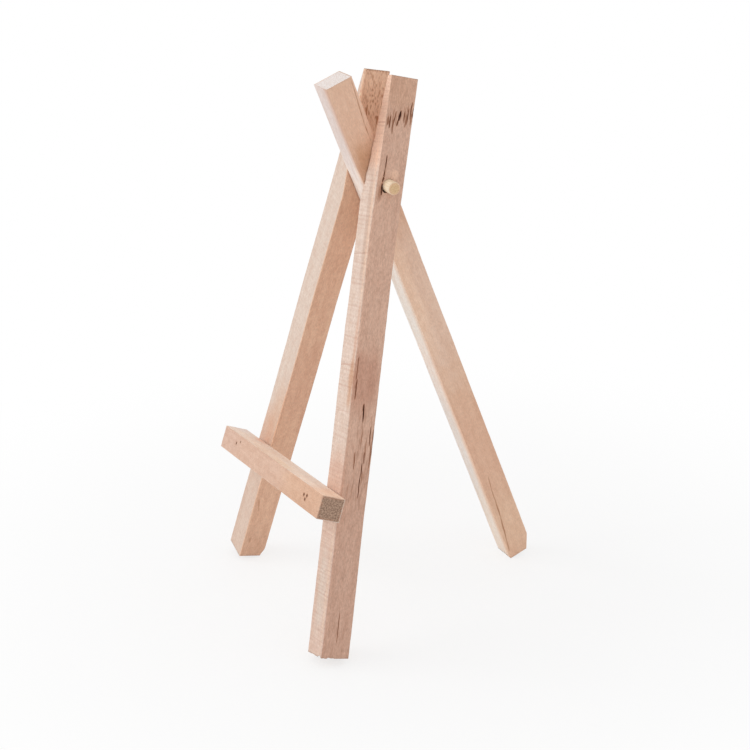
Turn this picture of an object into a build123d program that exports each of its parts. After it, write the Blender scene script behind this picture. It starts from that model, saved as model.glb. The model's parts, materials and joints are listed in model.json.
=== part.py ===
from build123d import *
from math import radians, tan
import os

# A small display easel: two front legs and a rear leg, sawn from one square stick and
# pinned together near their tops by a dowel, with a ledge nailed across the front.
# Millimetres and degrees. Facing the easel's front, +X is to the right, +Y is away, +Z is up.
# The pieces are worked out about the pivot, and set down on the floor at the end.

# --- the square stick that all three legs are cut from
stick_size = 8.0
arris = 0.3                  # how far the long edges are eased

# --- how the legs stand
pivot_height = 125.0         # the dowel's middle above the floor
front_leg_top = 28.2         # from the dowel to the top of a front leg
rear_leg_top = 29.6          # from the dowel to the top of the rear leg
splay = 12.8                 # each front leg, sideways
right_lean = 14.0            # the front legs lean back, each a little differently
left_lean = 11.0
rear_lean = 21.9             # the rear leg, the other way
right_setback = 0.2          # how far a front leg's middle lies behind the dowel
left_setback = -1.3

# --- the pivot
dowel_diameter = 3.6
dowel_edge = 0.25            # its rounded-off ends
right_stub = 3.8             # how far the dowel stands out of each front leg
left_stub = 0.8
front_leg_tip = 0.275        # what the upright inner face leaves of a front leg's width at its top
side_clearance = 0.2         # between the rear leg and each front leg
pivot_clearance = 0.05       # round the dowel in the rear leg's bore

# --- the ledge, a thinner stick
ledge_length = 76.5
ledge_depth = 6.9
ledge_height = 6.7
ledge_arris = 0.3
right_ledge_drop = 84.1      # from the dowel to the ledge's top, down each front leg
left_ledge_drop = 91.3
ledge_overhang = 10.9        # the ledge's left end, past the left leg
ledge_tip = 6.3              # how much more than the front legs the ledge leans back

# --- the brads that hold the ledge
brad_diameter = 0.65
brad_length = 12.0
brad_point = 1.2             # its tapered tip
brad_set = 0.15              # how far its blunt end is driven below the ledge's front
right_brad_spots = [(-2.6, 3.1), (-0.6, 2.9), (-1.3, 4.1)]   # right of the leg's middle, below the top
left_brad_spots = [(-3.8, 2.8), (-0.9, 1.8)]

RIGHT, LEFT = 1, -1
lean = {RIGHT: right_lean, LEFT: left_lean}
setback = {RIGHT: right_setback, LEFT: left_setback}
ledge_drop = {RIGHT: right_ledge_drop, LEFT: left_ledge_drop}
brad_spots = {RIGHT: right_brad_spots, LEFT: left_brad_spots}
inner_plane = stick_size / 2 + side_clearance     # X of a front leg's upright inner face
UP = Vector(0, 0, 1)


def turned(turn, vector):
    """A direction carried round by a rotation."""
    return (turn * Pos(vector)).position


def section(middle):
    """The stick's eased square section, its middle that far behind the dowel."""
    square = Rectangle(stick_size, stick_size)
    return Pos(0, middle) * chamfer(square.vertices(), arris)


def stick(turn, middle, top):
    """A square-cut stick past the pivot, long enough for its lowest corner to reach the floor."""
    lowest = min(corner.Z for corner in (turn * section(middle)).vertices())
    below = (pivot_height + lowest) / turned(turn, UP).Z
    return turn * Pos(0, 0, -below) * extrude(section(middle), below + top)


def front_leg_turn(side):
    """A front leg's splay, then its lean."""
    return Rot(X=-lean[side]) * Rot(Y=-side * splay)


def front_leg_shift(side):
    """The sideways shift that makes the upright inner face leave the right tip on a front leg."""
    bevel_start = (stick_size - front_leg_tip) / tan(radians(splay)) - front_leg_top
    bevel_corner = Vector(-side * stick_size / 2, 0, -bevel_start)
    return Pos(side * inner_plane - turned(Rot(Y=-side * splay), bevel_corner).X, 0, 0)


def outer_face(side):
    """X where the dowel's axis leaves a front leg."""
    face = turned(front_leg_turn(side), Vector(side * stick_size / 2, 0, 0))
    return front_leg_shift(side).position.X + face.dot(face) / face.X


def pivot_bore(radius):
    """A cylinder on the pivot's axis, longer than the whole joint, to cut with."""
    return Rot(Y=90) * Cylinder(radius, 2 * (outer_face(RIGHT) - outer_face(LEFT)))


def front_leg(side):
    """A splayed leg, its inner face cut upright beside the rear leg, with its dowel hole."""
    leg = front_leg_shift(side) * stick(front_leg_turn(side), setback[side], front_leg_top)
    keep = Keep.TOP if side == RIGHT else Keep.BOTTOM
    leg = split(leg, bisect_by=Plane.YZ.offset(side * inner_plane), keep=keep)
    return leg - pivot_bore(dowel_diameter / 2)


def rear_leg():
    """The middle leg, which turns on the dowel."""
    leg = stick(Rot(X=rear_lean), 0, rear_leg_top)
    return leg - pivot_bore(dowel_diameter / 2 + pivot_clearance)


def pivot_dowel():
    """The dowel, through all three legs and out of both front ones."""
    start = outer_face(LEFT) - left_stub
    end = outer_face(RIGHT) + right_stub
    dowel = Cylinder(dowel_diameter / 2, end - start)
    dowel = fillet(dowel.edges().filter_by(GeomType.CIRCLE), dowel_edge)
    return Pos((start + end) / 2, 0, 0) * Rot(Y=90) * dowel


def ledge_seat(side, edge):
    """Where the ledge's top meets a front leg: the left edge of its front face, -1, to the right, 1."""
    across = edge * stick_size / 2
    point = Vector(across, setback[side] - stick_size / 2, -ledge_drop[side])
    return front_leg_shift(side).position + turned(front_leg_turn(side), point)


def ledge_plane_through(left_edge, right_edge):
    """The ledge's axes: X along its top back edge from its left end, Y back, Z up."""
    start = ledge_seat(LEFT, left_edge)
    along = (ledge_seat(RIGHT, right_edge) - start).normalized()
    up = turned(Rot(X=-max(lean.values()) - ledge_tip), UP)
    return Plane(start - along * ledge_overhang, x_dir=along, z_dir=up - along * up.dot(along))


def ledge_plane():
    """The ledge's axes, with its back against the proud edge of each front leg."""
    back = ledge_plane_through(0, 0).y_dir
    proud = {}
    for side in (LEFT, RIGHT):
        across = ledge_seat(side, RIGHT) - ledge_seat(side, LEFT)
        proud[side] = LEFT if across.dot(back) > 0 else RIGHT
    return ledge_plane_through(proud[LEFT], proud[RIGHT])


def brad_starts(side):
    """Where the brads go in, on the ledge's front over one front leg, each with Z into the wood."""
    middle = ledge_plane().to_local_coords(ledge_seat(side, 0)).X
    starts = [Pos(middle + across, -ledge_depth, -below) for across, below in brad_spots[side]]
    return [ledge_plane().location * start * Rot(X=-90) for start in starts]


def brads(side):
    """The headless brads through the ledge into one front leg."""
    on_end = (Align.CENTER, Align.CENTER, Align.MIN)
    shank = Cylinder(brad_diameter / 2, brad_length - brad_point, align=on_end)
    tip = Cone(brad_diameter / 2, 0, brad_point, align=on_end)
    brad = shank + Pos(0, 0, brad_length - brad_point) * tip
    return [start * Pos(0, 0, brad_set) * brad for start in brad_starts(side)]


def brad_dents(side):
    """The small round dents that the driven brads leave in the ledge's front."""
    dent = Cylinder(brad_diameter / 2, 2 * brad_set)
    return [start * dent for start in brad_starts(side)]


def ledge():
    """The bar that the picture stands on."""
    bar = Box(ledge_length, ledge_depth, ledge_height, align=(Align.MIN, Align.MAX, Align.MAX))
    bar = chamfer(bar.edges().filter_by(Axis.X), ledge_arris)
    return ledge_plane().location * bar


right_brads = brads(RIGHT)
left_brads = brads(LEFT)
pieces = {
    "right_front_leg": front_leg(RIGHT) - right_brads,
    "left_front_leg": front_leg(LEFT) - left_brads,
    "rear_leg": rear_leg(),
    "pivot_dowel": pivot_dowel(),
    "ledge": ledge() - right_brads - left_brads - brad_dents(RIGHT) - brad_dents(LEFT),
    "right_brads": Compound(right_brads),
    "left_brads": Compound(left_brads),
}

# --- set the easel down, its middle over the origin
whole = Compound(list(pieces.values())).bounding_box()
to_floor = Pos(-whole.center().X, -whole.center().Y, -whole.min.Z)

os.makedirs("parts", exist_ok=True)
for name, piece in pieces.items():
    placed = to_floor * piece
    export_step(placed, f"parts/{name}.step")
    box = placed.bounding_box()
    print(name, [round(value, 2) for value in (*box.min, *box.max)])
print("pivot at", [round(value, 3) for value in to_floor.position])
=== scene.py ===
# %% [markdown]
# # A small wooden easel
#
# This lesson dresses a small bare-wood easel: two splayed front legs, a rear leg that turns on a dowel
# between them, a ledge nailed across the front, and the brads that hold it. The construction is already
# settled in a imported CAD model, which is loaded first and never moved. Everything made here lies where
# that model says, in metres, with +X to the right of someone facing the front and +Y towards the back.

# %% Load the frame
import json
import math

import bpy
import bmesh
import numpy as np
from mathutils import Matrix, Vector


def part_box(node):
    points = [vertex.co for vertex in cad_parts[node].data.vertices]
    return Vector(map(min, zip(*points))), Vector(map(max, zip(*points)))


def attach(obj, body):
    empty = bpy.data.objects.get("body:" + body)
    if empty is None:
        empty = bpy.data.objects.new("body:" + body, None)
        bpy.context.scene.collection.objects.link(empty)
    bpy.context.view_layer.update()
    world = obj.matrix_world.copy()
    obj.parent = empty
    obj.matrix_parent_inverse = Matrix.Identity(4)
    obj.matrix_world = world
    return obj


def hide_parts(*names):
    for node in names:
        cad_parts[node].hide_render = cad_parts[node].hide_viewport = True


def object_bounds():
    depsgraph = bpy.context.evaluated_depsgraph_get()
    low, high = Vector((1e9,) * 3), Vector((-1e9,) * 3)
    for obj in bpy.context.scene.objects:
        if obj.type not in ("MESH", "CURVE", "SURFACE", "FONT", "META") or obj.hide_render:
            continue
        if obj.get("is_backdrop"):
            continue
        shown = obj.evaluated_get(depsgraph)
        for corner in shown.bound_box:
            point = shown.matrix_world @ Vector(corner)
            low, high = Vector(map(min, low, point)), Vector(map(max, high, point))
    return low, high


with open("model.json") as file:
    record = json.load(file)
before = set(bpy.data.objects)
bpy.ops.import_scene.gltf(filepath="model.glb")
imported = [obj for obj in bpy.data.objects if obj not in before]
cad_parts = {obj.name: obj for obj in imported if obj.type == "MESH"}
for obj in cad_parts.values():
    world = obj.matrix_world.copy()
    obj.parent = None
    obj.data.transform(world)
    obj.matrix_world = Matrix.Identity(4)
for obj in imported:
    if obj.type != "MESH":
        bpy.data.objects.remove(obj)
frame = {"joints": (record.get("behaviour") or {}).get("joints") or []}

MM = 0.001
cad_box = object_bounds()
pivot = np.array(frame["joints"][0]["pos_m"]) / MM

# %% [markdown]
# ## The camera
#
# The camera stands to the right of the easel and a little above it, as someone would who looks at it on
# a table. A long lens from half a metre keeps the sticks' edges nearly parallel, which suits something
# made of straight sticks. Its place is given by two angles and a distance from the point it looks at.

# %% Set up the camera
view_turn, view_height = math.radians(63.83), math.radians(20.97)
view_target = Vector((4.145, -9.381, 67.74)) * MM
view_distance = 506.25
lens_length, sensor_width = 85.61, 36
view_back = Vector((
    math.sin(view_turn) * math.cos(view_height),
    -math.cos(view_turn) * math.cos(view_height),
    math.sin(view_height),
))


def add_object(name, data):
    """An object that holds the data, linked to the scene."""
    made = bpy.data.objects.new(name, data)
    bpy.context.scene.collection.objects.link(made)
    return made


camera = add_object("camera", bpy.data.cameras.new("camera"))
camera.location = view_target + view_back * view_distance * MM
camera.rotation_euler = view_back.to_track_quat("Z", "Y").to_euler()
camera.data.lens, camera.data.sensor_width = lens_length, sensor_width
camera.data.clip_start, camera.data.clip_end = 0.01, 20
bpy.context.scene.camera = camera
bpy.context.scene.view_settings.view_transform = "Standard"
print("camera at", [round(value, 3) for value in camera.location])

# %% [markdown]
# ## Where the sticks stand
#
# All three legs are cut from one 8 mm square stick. Each has its own little set of axes, in millimetres:
# u across the stick, v from its front face to its back face, and t up the stick from the dowel. Working
# in those axes keeps every formula short, and one rotation at the end carries the shape into place.

# %% The legs' sizes
half = 4.0  # half a stick's width
arris = 0.3  # how far the long edges of a stick are eased
splay = math.radians(12.8)
slope = math.tan(splay)
lean = {"right": math.radians(14.0), "left": math.radians(11.0)}
setback = {"right": 0.2, "left": -1.3}  # how far a front leg's middle lies behind the dowel's
rear_lean = math.radians(21.9)
front_top, rear_top = 28.2, 29.6  # how far the legs rise above the dowel
dowel_radius = 1.8
inner_plane = 4.2  # from the middle of the rear leg to the cheek on each side of it
tip_width = 0.275  # what the upright cut leaves of a front leg at its tip
bevel_start = (2 * half - tip_width) / slope - front_top
print("the inner faces are cut upright from", round(bevel_start, 2), "mm below the dowel")


# %% Turns, and the way down to the floor
def turn_x(angle):
    """The matrix that turns a point about X, lifting +Y towards +Z."""
    c, s = math.cos(angle), math.sin(angle)
    return np.array([[1, 0, 0], [0, c, -s], [0, s, c]])


def turn_y(angle):
    """The matrix that turns a point about Y, swinging +Z towards +X."""
    c, s = math.cos(angle), math.sin(angle)
    return np.array([[c, 0, s], [0, 1, 0], [-s, 0, c]])


def reach_down(turn, middle):
    """How far a stick runs below the dowel before the lowest corner of its eased end meets the floor."""
    flat = half - arris
    corners = np.array([
        (a * i, b * j) for a, b in ((half, flat), (flat, half)) for i in (1, -1) for j in (1, -1)])
    heights = corners[:, 0] * turn[2, 0] + (corners[:, 1] + middle) * turn[2, 1]
    return (pivot[2] + heights.min()) / turn[2, 2]


print("the rear leg runs", round(reach_down(turn_x(rear_lean), 0), 2), "mm down from the dowel")

# %% [markdown]
# ## Smooth noise
#
# Wood is never quite straight. A lattice of random numbers, blended smoothly between its points, gives
# gentle unevenness that is the same every time the script runs, because the lattice has a fixed seed.

# %% A noise field
def uneven(x, y, seed):
    """Smooth noise from -1 to 1: random values on a square lattice, blended with 3s^2 - 2s^3 between them.
    What callers add to x and y only picks another part of the lattice."""
    lattice = np.random.default_rng(seed).uniform(-1, 1, (256, 256))
    x, y = np.broadcast_arrays(x, y)
    column, row = np.floor(x).astype(int), np.floor(y).astype(int)
    s, r = x - column, y - row
    s, r = s * s * (3 - 2 * s), r * r * (3 - 2 * r)

    def value(i, j):
        return lattice[(column + i) % 256, (row + j) % 256]

    low = value(0, 0) * (1 - s) + value(1, 0) * s
    high = value(0, 1) * (1 - s) + value(1, 1) * s
    return low * (1 - r) + high * r


def ramp(x, start, end):
    """0 before start, 1 after end, and 3s^2 - 2s^3 between them."""
    s = np.clip((x - start) / (end - start), 0, 1)
    return s * s * (3 - 2 * s)


print("noise at five places in a row:", uneven(np.linspace(0, 2, 5), 0.5, 1).round(2))

# %% [markdown]
# ## Gathering a surface
#
# A stick with a hole through it is several patches: its long sides, its two sawn ends, and the wall of
# the hole. Each patch is a grid of points. A small collector numbers the points and joins rows of them
# with faces, so that the patches share their borders and the finished skin is closed.

# %% A collector for patches
class Skin:
    """Points, the way each one faces, and the faces between them, gathered patch by patch."""

    def __init__(self):
        self.points, self.facing, self.faces, self.count = [], [], [], 0

    def add(self, points, facing):
        """Numbers a patch's points, and returns the numbers in the patch's own shape."""
        facing = np.broadcast_to(facing, points.shape)
        self.points.append(points.reshape(-1, 3))
        self.facing.append(facing.reshape(-1, 3))
        numbers = np.arange(self.count, self.count + points[..., 0].size).reshape(points.shape[:-1])
        self.count += numbers.size
        return numbers

    def place(self, numbers):
        """Where numbered points lie."""
        return np.concatenate(self.points)[numbers]

    def join(self, first, second):
        """Four-sided faces between two closed rows of points."""
        self.faces.append(np.stack([first, np.roll(first, -1), np.roll(second, -1), second], -1))

    def fan(self, ring, point, facing):
        """Closes a ring with triangles to one point."""
        middle = np.full_like(ring, self.add(np.array([point], float), facing)[0])
        self.faces.append(np.stack([ring, np.roll(ring, -1), middle], -1))

    def bridge(self, ring, start, end, shares, facing):
        """Adds rings at shares of the way from start to end, joined one to the next, and returns the last."""
        for share in shares:
            inner = self.add(start + (end - start) * share, facing)
            self.join(ring, inner)
            ring = inner
        return ring

    def close(self, ring, facing):
        """Closes a ring with nine ever smaller copies of itself and a middle point."""
        edge = self.place(ring)
        middle = edge.mean(0)
        self.fan(self.bridge(ring, edge, middle, np.linspace(0, 1, 11)[1:-1], facing), middle, facing)

    def arrays(self):
        """All the points, and the way each faces."""
        return np.concatenate(self.points), np.concatenate(self.facing)


# %% What the wood material reads
def masks(grain, facing, dark, warm, tint=(1.0, 1.0, 1.0)):
    """What the wood material reads at each point: its place in the stick, how far it is front or sawn end,
    the darkness of marks, how far it takes the warm colour (rubbed edges, and painted light on the left leg's
    inner front corner), and a tint from the patches."""
    return {
        "tint": np.broadcast_to(tint, grain.shape),
        "grain": grain,
        "front": ramp(-facing[:, 1], 0.5, 0.8),
        "sawn": ramp(np.abs(facing[:, 2]), 0.5, 0.8),
        "dark": np.broadcast_to(dark, len(grain)),
        "warm": np.broadcast_to(warm, len(grain)),
    }


print("the material reads", sorted(masks(np.zeros((1, 3)), np.zeros((1, 3)), 0, 0)))


# %% A piece from its surface
pieces = {}


def make_object(name, points, faces, values):
    """Adds a piece from points in millimetres: its faces are turned outwards, and each point carries values
    or vectors that its material reads."""
    mesh = bpy.data.meshes.new(name)
    mesh.from_pydata((points * MM).tolist(), [], [face for patch in faces for face in patch.tolist()])
    for key, data in values.items():
        data = np.asarray(data, np.float32)
        kind, slot = ("FLOAT_VECTOR", "vector") if data.ndim == 2 else ("FLOAT", "value")
        mesh.attributes.new(key, kind, "POINT").data.foreach_set(slot, data.ravel())
    work = bmesh.new()
    work.from_mesh(mesh)
    bmesh.ops.recalc_face_normals(work, faces=work.faces)
    open_edges = sum(not edge.is_manifold for edge in work.edges)
    volume = work.calc_volume(signed=True) / MM ** 3
    work.to_mesh(mesh)
    work.free()
    mesh.shade_smooth()
    pieces[name] = add_object(name, mesh)
    print(name, len(mesh.polygons), "faces,", open_edges, "open edges,", round(volume, 1), "mm3")


# %% [markdown]
# ## A stick's outline
#
# The section of a stick is a rectangle with eased corners. Its points run round it once: an arc at each
# corner, then the straight side to the next one. The rectangle may narrow along the stick, which is how
# the inner faces of the front legs are sawn upright, so its sides are arrays with one value per station.

# %% The outline as a function
side_points, arc_points = 54, 14  # along a side, and round a corner


def eased_outline(low, high, front, back, easing):
    """Points round a rectangle, and the way each faces: a quarter of an ellipse at each corner, which faces
    along (cos a / easing x, sin a / easing y) at the angle a, and evenly spaced points on the sides between
    them. Easing is a pair for each corner, how far it runs along x and along y. Sides and easings are arrays
    along the stick."""
    corners = [(high, front, 1, -1), (high, back, 1, 1), (low, back, -1, 1), (low, front, -1, -1)]
    arcs, normals = [], []
    for k, (x, y, across, along) in enumerate(corners):
        angle = np.radians(np.linspace(-90, 0, arc_points) + 90 * k)
        ease_x, ease_y = [np.broadcast_to(ease, x.shape)[:, None] for ease in easing[k]]
        arcs.append(np.stack([
            x[:, None] - across * ease_x + ease_x * np.cos(angle),
            y[:, None] - along * ease_y + ease_y * np.sin(angle),
        ], -1))
        normal = np.stack([np.cos(angle) / ease_x, np.sin(angle) / ease_y], -1)
        normals.append(normal / np.linalg.norm(normal, axis=-1, keepdims=True))
    points, facing = [], []
    share = np.linspace(0, 1, side_points + 2)[1:-1, None]
    for k in range(4):
        start, end = arcs[k][:, -1:], arcs[(k + 1) % 4][:, :1]
        points += [arcs[k], start * (1 - share) + end * share]
        facing += [normals[k], np.repeat(normals[k][:, -1:], side_points, 1)]
    return np.concatenate(points, 1), np.concatenate(facing, 1)


def side_columns(k):
    """The columns of side k, from one corner's arc to the next: 0 right, 1 back, 2 left, 3 front."""
    start = k * (side_points + arc_points) + arc_points
    return np.arange(start, start + side_points)


print("an outline has", 4 * (side_points + arc_points), "points")

# %% [markdown]
# ## A stick's skin
#
# A round hole doesn't fit a grid of points. Cutting it with a boolean would leave long thin faces that
# shade badly, so a small window is left open in the grid on each side instead. Rings of points change its
# square border gradually into the round rim, and a tube joins the two rims through the wood. The sawn
# ends are closed in the same spirit, with ever smaller copies of the outline.

# %% Sides, holes and ends
ring_shares = (0.3, 0.6, 0.85, 0.97, 1.0)  # of the way from a window's border to its rim
tube_shares = np.linspace(0, 1, 14)[1:-1] ** 1.5  # of the way through a hole, closest near its mouth


def stick_skin(stations, outline, normals, holes):
    """The skin of a stick. Its sides are the outline carried up the stations. Each hole is a pair of windows
    cut from two opposite sides: rings run from each window's border to a rim, and a tube joins the rims.
    A hole's spread is half a window's size in columns and rows, its bearing gives the angle of a place round
    it, and each window has a side, a middle (across, along) and a rim, which turns angles into places.
    The two ends are closed with shrinking copies of their outlines."""
    skin = Skin()
    count = outline.shape[1]
    sides = np.concatenate([outline, np.broadcast_to(stations[:, None, None], (*outline.shape[:2], 1))], 2)
    grid = skin.add(sides, np.concatenate([normals, np.zeros((*normals.shape[:2], 1))], 2))
    kept = np.ones((len(stations) - 1, count), bool)
    for spread, bearing, windows in holes:
        rims, angles = [], None
        for side, middle, rim in windows:
            axis = 1 - side % 2
            columns = side_columns(side)
            facing = np.append(normals[0, columns[0]], 0)
            row = np.abs(stations - middle[1]).argmin()
            column = columns[np.abs(sides[row, columns, axis] - middle[0]).argmin()]
            rows = slice(row - spread[1], row + spread[1] + 1)
            patch = grid[rows, column - spread[0]:column + spread[0] + 1]
            kept[row - spread[1]:row + spread[1], column - spread[0]:column + spread[0]] = False
            if sides[row, column, axis] > sides[row, column + 1, axis]:
                patch = patch[:, ::-1]
            border = np.concatenate([patch[0, :-1], patch[:-1, -1], patch[-1, :0:-1], patch[:0:-1, 0]])
            place = skin.place(border)
            angles = bearing(place) if angles is None else angles
            target = rim(angles)
            rims.append((skin.bridge(border, place, target, ring_shares, facing), target))
        (first, start), (last, end) = rims
        inward = (start.mean(0) - start) / np.linalg.norm(start.mean(0) - start, axis=1)[:, None]
        skin.join(skin.bridge(first, start, end, tube_shares, inward), last)
    lower, upper = grid[:-1], grid[1:]
    quads = np.stack([lower, np.roll(lower, -1, 1), np.roll(upper, -1, 1), upper], -1)
    skin.faces.append(quads[kept])
    skin.close(grid[0], (0, 0, -1))
    skin.close(grid[-1], (0, 0, 1))
    return skin


print("a hole's wall has", len(tube_shares) + 2, "rings of points")

# %% [markdown]
# ## Marks in the wood
#
# Dark mineral streaks and small cracks run along the fibres, each thickest in its middle. A list of
# short lines says where they lie on a face, and one function turns the list into a mask of 0 to 1 for
# every point of the mesh. The mask both darkens the wood and sinks it a little. Broader patches are soft
# ellipses that only tint the wood: most are stains, where sap or weather has changed its colour, and the
# lists mark those that are painted shade, painted light or a painted highlight. In the lists of each leg,
# a streak is v0, t0, v1, t1, half-width and strength, and a patch is its middle across and along the
# stick, half-width, half-length, and what it leaves of red, green and blue.

# %% Streaks along the fibres
def streaks(v, t, lines):
    """The strongest of several marks. Each runs from (v0, t0) up to (v1, t1) with a half-width and a
    strength; across it the mark falls off smoothly, and its width follows the square root of a half sine."""
    mark = np.zeros_like(v)
    for k, (v0, t0, v1, t1, width, strength) in enumerate(lines):
        share = (t - t0) / (t1 - t0)
        inside = (share > 0) & (share < 1)
        swell = np.sqrt(np.sin(math.pi * np.clip(share, 0.001, 0.999)))
        wander = 0.07 * uneven(t * 0.7, k * 3.7, 5)
        away = np.abs(v - v0 - (v1 - v0) * share - wander) / (width * swell + 0.05)
        mark = np.maximum(mark, np.where(inside, strength * (1 - ramp(away, 0.35, 1.1)), 0))
    return mark


def patch_tint(x, t, seen, patches):
    """Patches that tint the wood, as a colour to multiply by: stains, and in some lists painted shade or
    painted light. Each is a soft-edged ellipse: (middle x, middle t, half-width, half-length, red, green,
    blue), and counts where the face is seen."""
    tint = np.ones((len(t), 3))
    for k, (x0, t0, wide, long, *colour) in enumerate(patches):
        away = np.hypot((x - x0) / wide, (t - t0) / long) + 0.12 * uneven(t * 0.3 + 9 * k, x * 0.5 + 20, 6)
        share = seen * (1 - ramp(away, 0.35, 1.0))
        tint *= 1 + share[:, None] * (np.array(colour) - 1)
    return tint


steps = np.linspace(0, 0.4, 5)
print("a streak from its middle outwards:", streaks(steps, 0 * steps + 5, [(0, 0, 0, 10, 0.3, 1)]).round(2))


# %% Where a mark counts
def side_share(facing, axis, sign):
    """1 on the side that faces along an axis, 0 on the others, and soft over the corners between."""
    return ramp(sign * facing[:, axis], 0.3, 0.7)


def window(x, low, high, soft):
    """1 from low to high, and 0 further out than soft."""
    return ramp(x, low - soft, low) * (1 - ramp(x, high, high + soft))


print("a window from 1 to 2:", window(np.linspace(0, 3, 7), 1, 2, 1).round(2))

# %% [markdown]
# ## The front legs
#
# Each front leg leans back and splays outwards. Beside the rear leg its inner face is sawn upright, so
# that the rear leg can swing between two flat cheeks, and that leaves a front leg only a sliver wide at
# its top. The dowel's hole runs level through both cheeks. Both legs come from one function, worked out
# with o, which points away from the rear leg; on the left leg o runs the other way along u.

# %% Places up a leg, and the leg in its place
def stand(points, turn, shift=(0, 0, 0)):
    """Turns a leg's points about the pivot and shifts them; none goes below the floor."""
    placed = points @ turn.T + pivot + shift
    placed[:, 2] = np.maximum(placed[:, 2], 0)
    return placed


def leg_stations(turn, middle, top, count):
    """Places up a leg, from the floor to its top, and closer together from 8 mm below the dowel upwards."""
    below = reach_down(turn, middle)
    return np.concatenate([np.linspace(-below, -8, 205, endpoint=False), np.linspace(-8, top, count)])


print("the rear leg is worked out at", len(leg_stations(turn_x(rear_lean), 0, rear_top, 99)), "places")


# %% A front leg's skin
def front_leg(side, sign, swelling, easing, hole_rim, spread, character):
    """A leg's points, faces and masks. Its inner side stands at o = -4, and above the bevel's start moves out
    to o = -4 + (start + t) tan(splay), which is upright once the leg is splayed. The swelling is what a
    hand-planed stick has over 4 mm at each t: outwards, backwards, and inwards below the rear leg's cheek."""
    turn = turn_x(-lean[side]) @ turn_y(-sign * splay)
    stations = leg_stations(turn, setback[side], front_top, 96)
    flat = np.full_like(stations, half)
    outwards, backwards, inwards = swelling
    low = -half + np.clip(bevel_start + stations, 0, None) * slope - inwards(stations)
    high, back = flat + outwards(stations), flat + backwards(stations)
    outline, normals = eased_outline(low, high, -flat, back, easing(stations))
    middle = -setback[side]
    inner_level = (half - bevel_start * slope) * math.sin(splay)

    def bearing(place):
        return np.arctan2(place[:, 0] * math.sin(splay) + place[:, 2] * math.cos(splay), place[:, 1] - middle)

    def outer_rim(angle):
        radius = hole_rim(angle)
        height = (radius * np.sin(angle) - half * math.sin(splay)) / math.cos(splay)
        return np.stack([half + outwards(height), radius * np.cos(angle) + middle, height], -1)

    def inner_rim(angle):
        radius = round_rim(angle)
        height = (radius * np.sin(angle) + inner_level) * math.cos(splay)
        return np.stack([-half + (bevel_start + height) * slope, radius * np.cos(angle) + middle, height], -1)

    windows = (
        (0, (middle, -half * slope), outer_rim),
        (2, (middle, inner_level * math.cos(splay)), inner_rim),
    )
    skin = stick_skin(stations, outline, normals, [(spread, bearing, windows)])
    points, facing = skin.arrays()
    moved, marks = character(points, facing)
    shift = inner_plane + half * math.cos(splay) - bevel_start * math.sin(splay)
    moved = stand(moved * (sign, 1, 1) + (0, setback[side], 0), turn, (sign * shift, 0, 0))
    return moved, skin.faces, masks(points * (sign, 1, 1), facing, **marks)


def round_rim(angle):
    """The radius of a sound hole: the dowel's and a hair more, all the way round."""
    return np.full_like(angle, dowel_radius + 0.04)


# %% Wear that every leg has
def weather(points, facing, ends, seed):
    """Small unevenness: every point sinks by less than a tenth of a millimetre, never rises, and the whole
    stick wanders sideways by up to a tenth between its ends."""
    depth = 0.05
    u, v, t = points.T
    turn = np.arctan2(v, u) * 2.5
    sink = depth * (0.5 + 0.5 * uneven(turn + 40, t * 0.35 + 90, seed))
    sink += 0.6 * depth * (0.5 + 0.5 * uneven(turn * 4 + 20, t * 1.6 + 50, seed + 1))
    share = np.clip((t - ends[0]) / (ends[1] - ends[0]), 0, 1)
    wander = np.sin(math.pi * share) * 0.1
    sideways = np.stack([uneven(t / 23 + 9, 0.5, seed + 2), uneven(t / 19 + 9, 0.5, seed + 3), 0 * t], -1)
    return points - facing * sink[:, None] + sideways * wander[:, None]


# %% [markdown]
# ### The right leg
#
# This leg carries the marks that catch the eye: a bark pocket near the top, streaks below its middle, a
# crack that runs down into the dowel's hole and a torn lip below it. Its tip springs outwards by more than
# a millimetre and a half, because the sliver left by the saw has bent, and its sawn front edge is ragged.

# %% The right leg's marks
right_leg_streaks = [
    (-3.1, 14.9, -3.15, 17.3, 0.26, 0.6), (-2.55, 14.2, -2.45, 17.6, 0.26, 0.7),
    (-1.45, 12.9, -1.6, 16.4, 0.18, 0.75), (-1.3, 15.9, -1.05, 19, 0.18, 0.65),
    (-0.35, 14.9, 0.05, 17, 0.3, 0.75), (0.15, 16.4, 0.4, 19.2, 0.42, 1), (0.2, 16.6, 0.3, 18.7, 0.4, 1),
    (1.7, 16.3, 1.6, 19.4, 0.2, 0.7), (2.2, 15, 2.3, 18.4, 0.24, 0.62), (2.65, 15.8, 2.7, 20, 0.19, 0.72),
    (3.4, 17.4, 3.5, 21.9, 0.22, 0.75), (3.75, 15.6, 3.8, 19, 0.2, 0.5), (4.1, 17.9, 4.15, 20.4, 0.2, 0.8),
    (-2.85, -59.6, -3.05, -53, 0.15, 0.85), (-3.05, -54.6, -3.15, -47.6, 0.12, 0.7),
    (0.2, -64.9, 0.02, -60.2, 0.24, 1), (-0.12, -62.2, -0.25, -60, 0.13, 0.6),
    (3.05, -71.6, 2.85, -66.2, 0.18, 0.8), (3.6, -77.5, 3.5, -70.5, 0.18, 0.6),
    (3.95, -74, 3.85, -66.5, 0.18, 0.65), (-1, -78.3, -1.1, -73, 0.16, 0.62),
    (0.35, -72, 0.3, -66.4, 0.13, 0.4), (2.1, -74.6, 1.95, -70, 0.13, 0.45),
    (1.85, -76.4, 1.8, -73, 0.16, 0.75), (1.5, -79.6, 1.4, -76.2, 0.18, 0.85),
    (1.3, -85.8, 1.2, -79.4, 0.16, 0.8), (1.7, -82, 1.75, -78.4, 0.13, 0.5),
    (-2.2, -87, -2.3, -81, 0.15, 0.3), (0, -125.8, -0.05, -117.4, 0.13, 0.6),
]
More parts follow.
